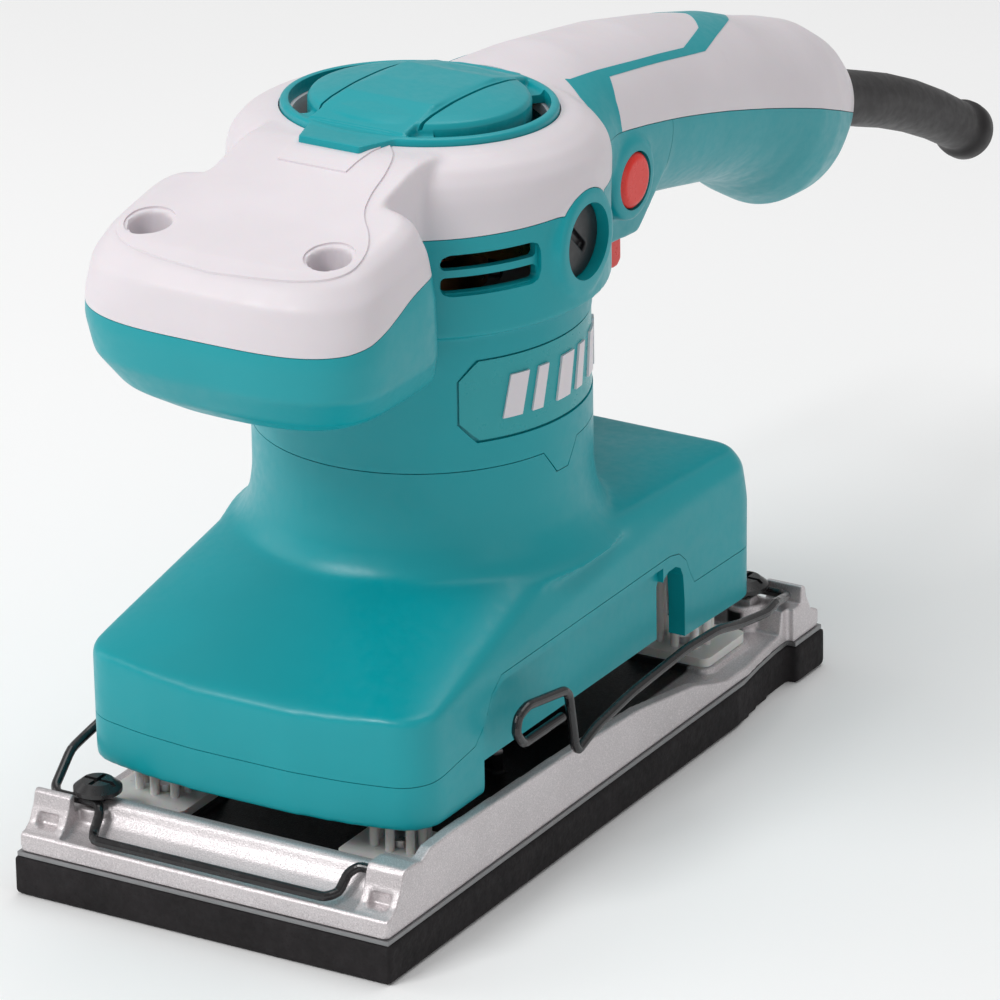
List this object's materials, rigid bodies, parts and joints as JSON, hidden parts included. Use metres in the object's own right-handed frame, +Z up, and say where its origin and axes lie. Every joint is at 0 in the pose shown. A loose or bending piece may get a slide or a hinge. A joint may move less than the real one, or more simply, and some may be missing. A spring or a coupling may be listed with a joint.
{
  "type": "orbital finishing sander",
  "caption": "Corded orbital finishing sander with a rectangular clamping pad, a pot motor over it and a pistol handle running back to the cord guard.",
  "frame": {"origin": "middle of the pad's flat underside, which is also on the axis of the platen bearing", "axes": "+Z up out of the work, +Y to the handle and cord end, +X to the side with the lock button"},
  "size_m": [0.097, 0.3439, 0.1593],
  "materials": {
    "black_rubber": "matte, fine grained",
    "sheet_steel": "plain rolled sheet",
    "cast_aluminium": "sparkly sand-blasted casting",
    "black_wire": "blackened spring steel",
    "black_steel": "black oxide",
    "white_nylon": "natural nylon, slightly translucent",
    "zinc_steel": "zinc plated",
    "bearing_steel": "ground steel",
    "zinc_alloy": "as cast",
    "fan_plastic": "glass-filled nylon",
    "laminated_steel": "stacked laminations",
    "copper": "enamelled copper",
    "brass": "pressed brass",
    "carbon": "moulded carbon",
    "black_plastic": "fine textured",
    "teal_plastic": "fine satin texture",
    "white_plastic": "fine satin texture",
    "label_plastic": "smooth",
    "red_plastic": "semi-gloss"
  },
  "bodies": {
    "housing": {"motor_housing": "teal_plastic", "base_housing": "teal_plastic", "base_skirt": "teal_plastic", "skirt_screws": "zinc_steel", "bearing_plate": "cast_aluminium", "bearing_plate_screws": "zinc_steel", "lower_bearing": "bearing_steel", "upper_bearing": "bearing_steel", "stator_core": "laminated_steel", "field_coils": "copper", "brush_holders": "brass", "carbon_brushes": "carbon", "brush_springs": "bearing_steel", "brush_caps": "black_plastic", "top_cover": "white_plastic", "vent_cap": "teal_plastic", "cover_screws": "zinc_steel", "handle_shell": "teal_plastic", "handle_screws": "zinc_steel", "handle_inlay": "teal_plastic", "label_plates": "label_plastic", "switch_body": "black_plastic", "cord_guard": "black_rubber", "cord_clamp": "black_plastic", "cord_clamp_screws": "zinc_steel"},
    "rotor": {"motor_shaft": "bearing_steel", "armature_core": "laminated_steel", "armature_windings": "copper", "commutator": "copper", "cooling_fan": "fan_plastic", "counterweight": "zinc_alloy", "eccentric_hub": "bearing_steel", "eccentric_screw": "black_steel"},
    "platen": {"rubber_pad": "black_rubber", "backing_sheet": "sheet_steel", "platen_casting": "cast_aluminium", "clamp_screws": "black_steel", "flex_feet": "white_nylon", "foot_screws": "zinc_steel", "platen_bearing": "bearing_steel"},
    "front_clamp": {"front_clamp_wire": "black_wire"},
    "rear_clamp": {"rear_clamp_wire": "black_wire"},
    "trigger": {"trigger": "red_plastic"},
    "lock_button": {"lock_button": "red_plastic"}
  },
  "joints": [
    {"name": "motor_spin", "type": "hinge", "parent": "housing", "child": "rotor", "pos_m": [0, -0.001, 0], "axis": [0, 0, 1], "continuous": true},
    {"name": "platen_orbit", "type": "hinge", "parent": "rotor", "child": "platen", "pos_m": [0, 0, 0], "axis": [0, 0, 1], "continuous": true},
    {"name": "front_clamp_lift", "type": "hinge", "parent": "platen", "child": "front_clamp", "pos_m": [0, -0.0825, 0.02], "axis": [1, 0, 0], "range_deg": [-12, 0]},
    {"name": "rear_clamp_lift", "type": "hinge", "parent": "platen", "child": "rear_clamp", "pos_m": [0, 0.0825, 0.02], "axis": [1, 0, 0], "range_deg": [0, 12]},
    {"name": "trigger_pull", "type": "slide", "parent": "housing", "child": "trigger", "axis": [0, 0, 1], "range_m": [0, 0.004], "stiffness_N_per_m": 600, "springref_m": -0.001},
    {"name": "lock_push", "type": "slide", "parent": "housing", "child": "lock_button", "axis": [-1, 0, 0], "range_m": [0, 0.0022], "stiffness_N_per_m": 400, "springref_m": -0.001}
  ],
  "couplings": [
    {"joint": "platen_orbit", "follows": "motor_spin", "ratio": -1}
  ]
}
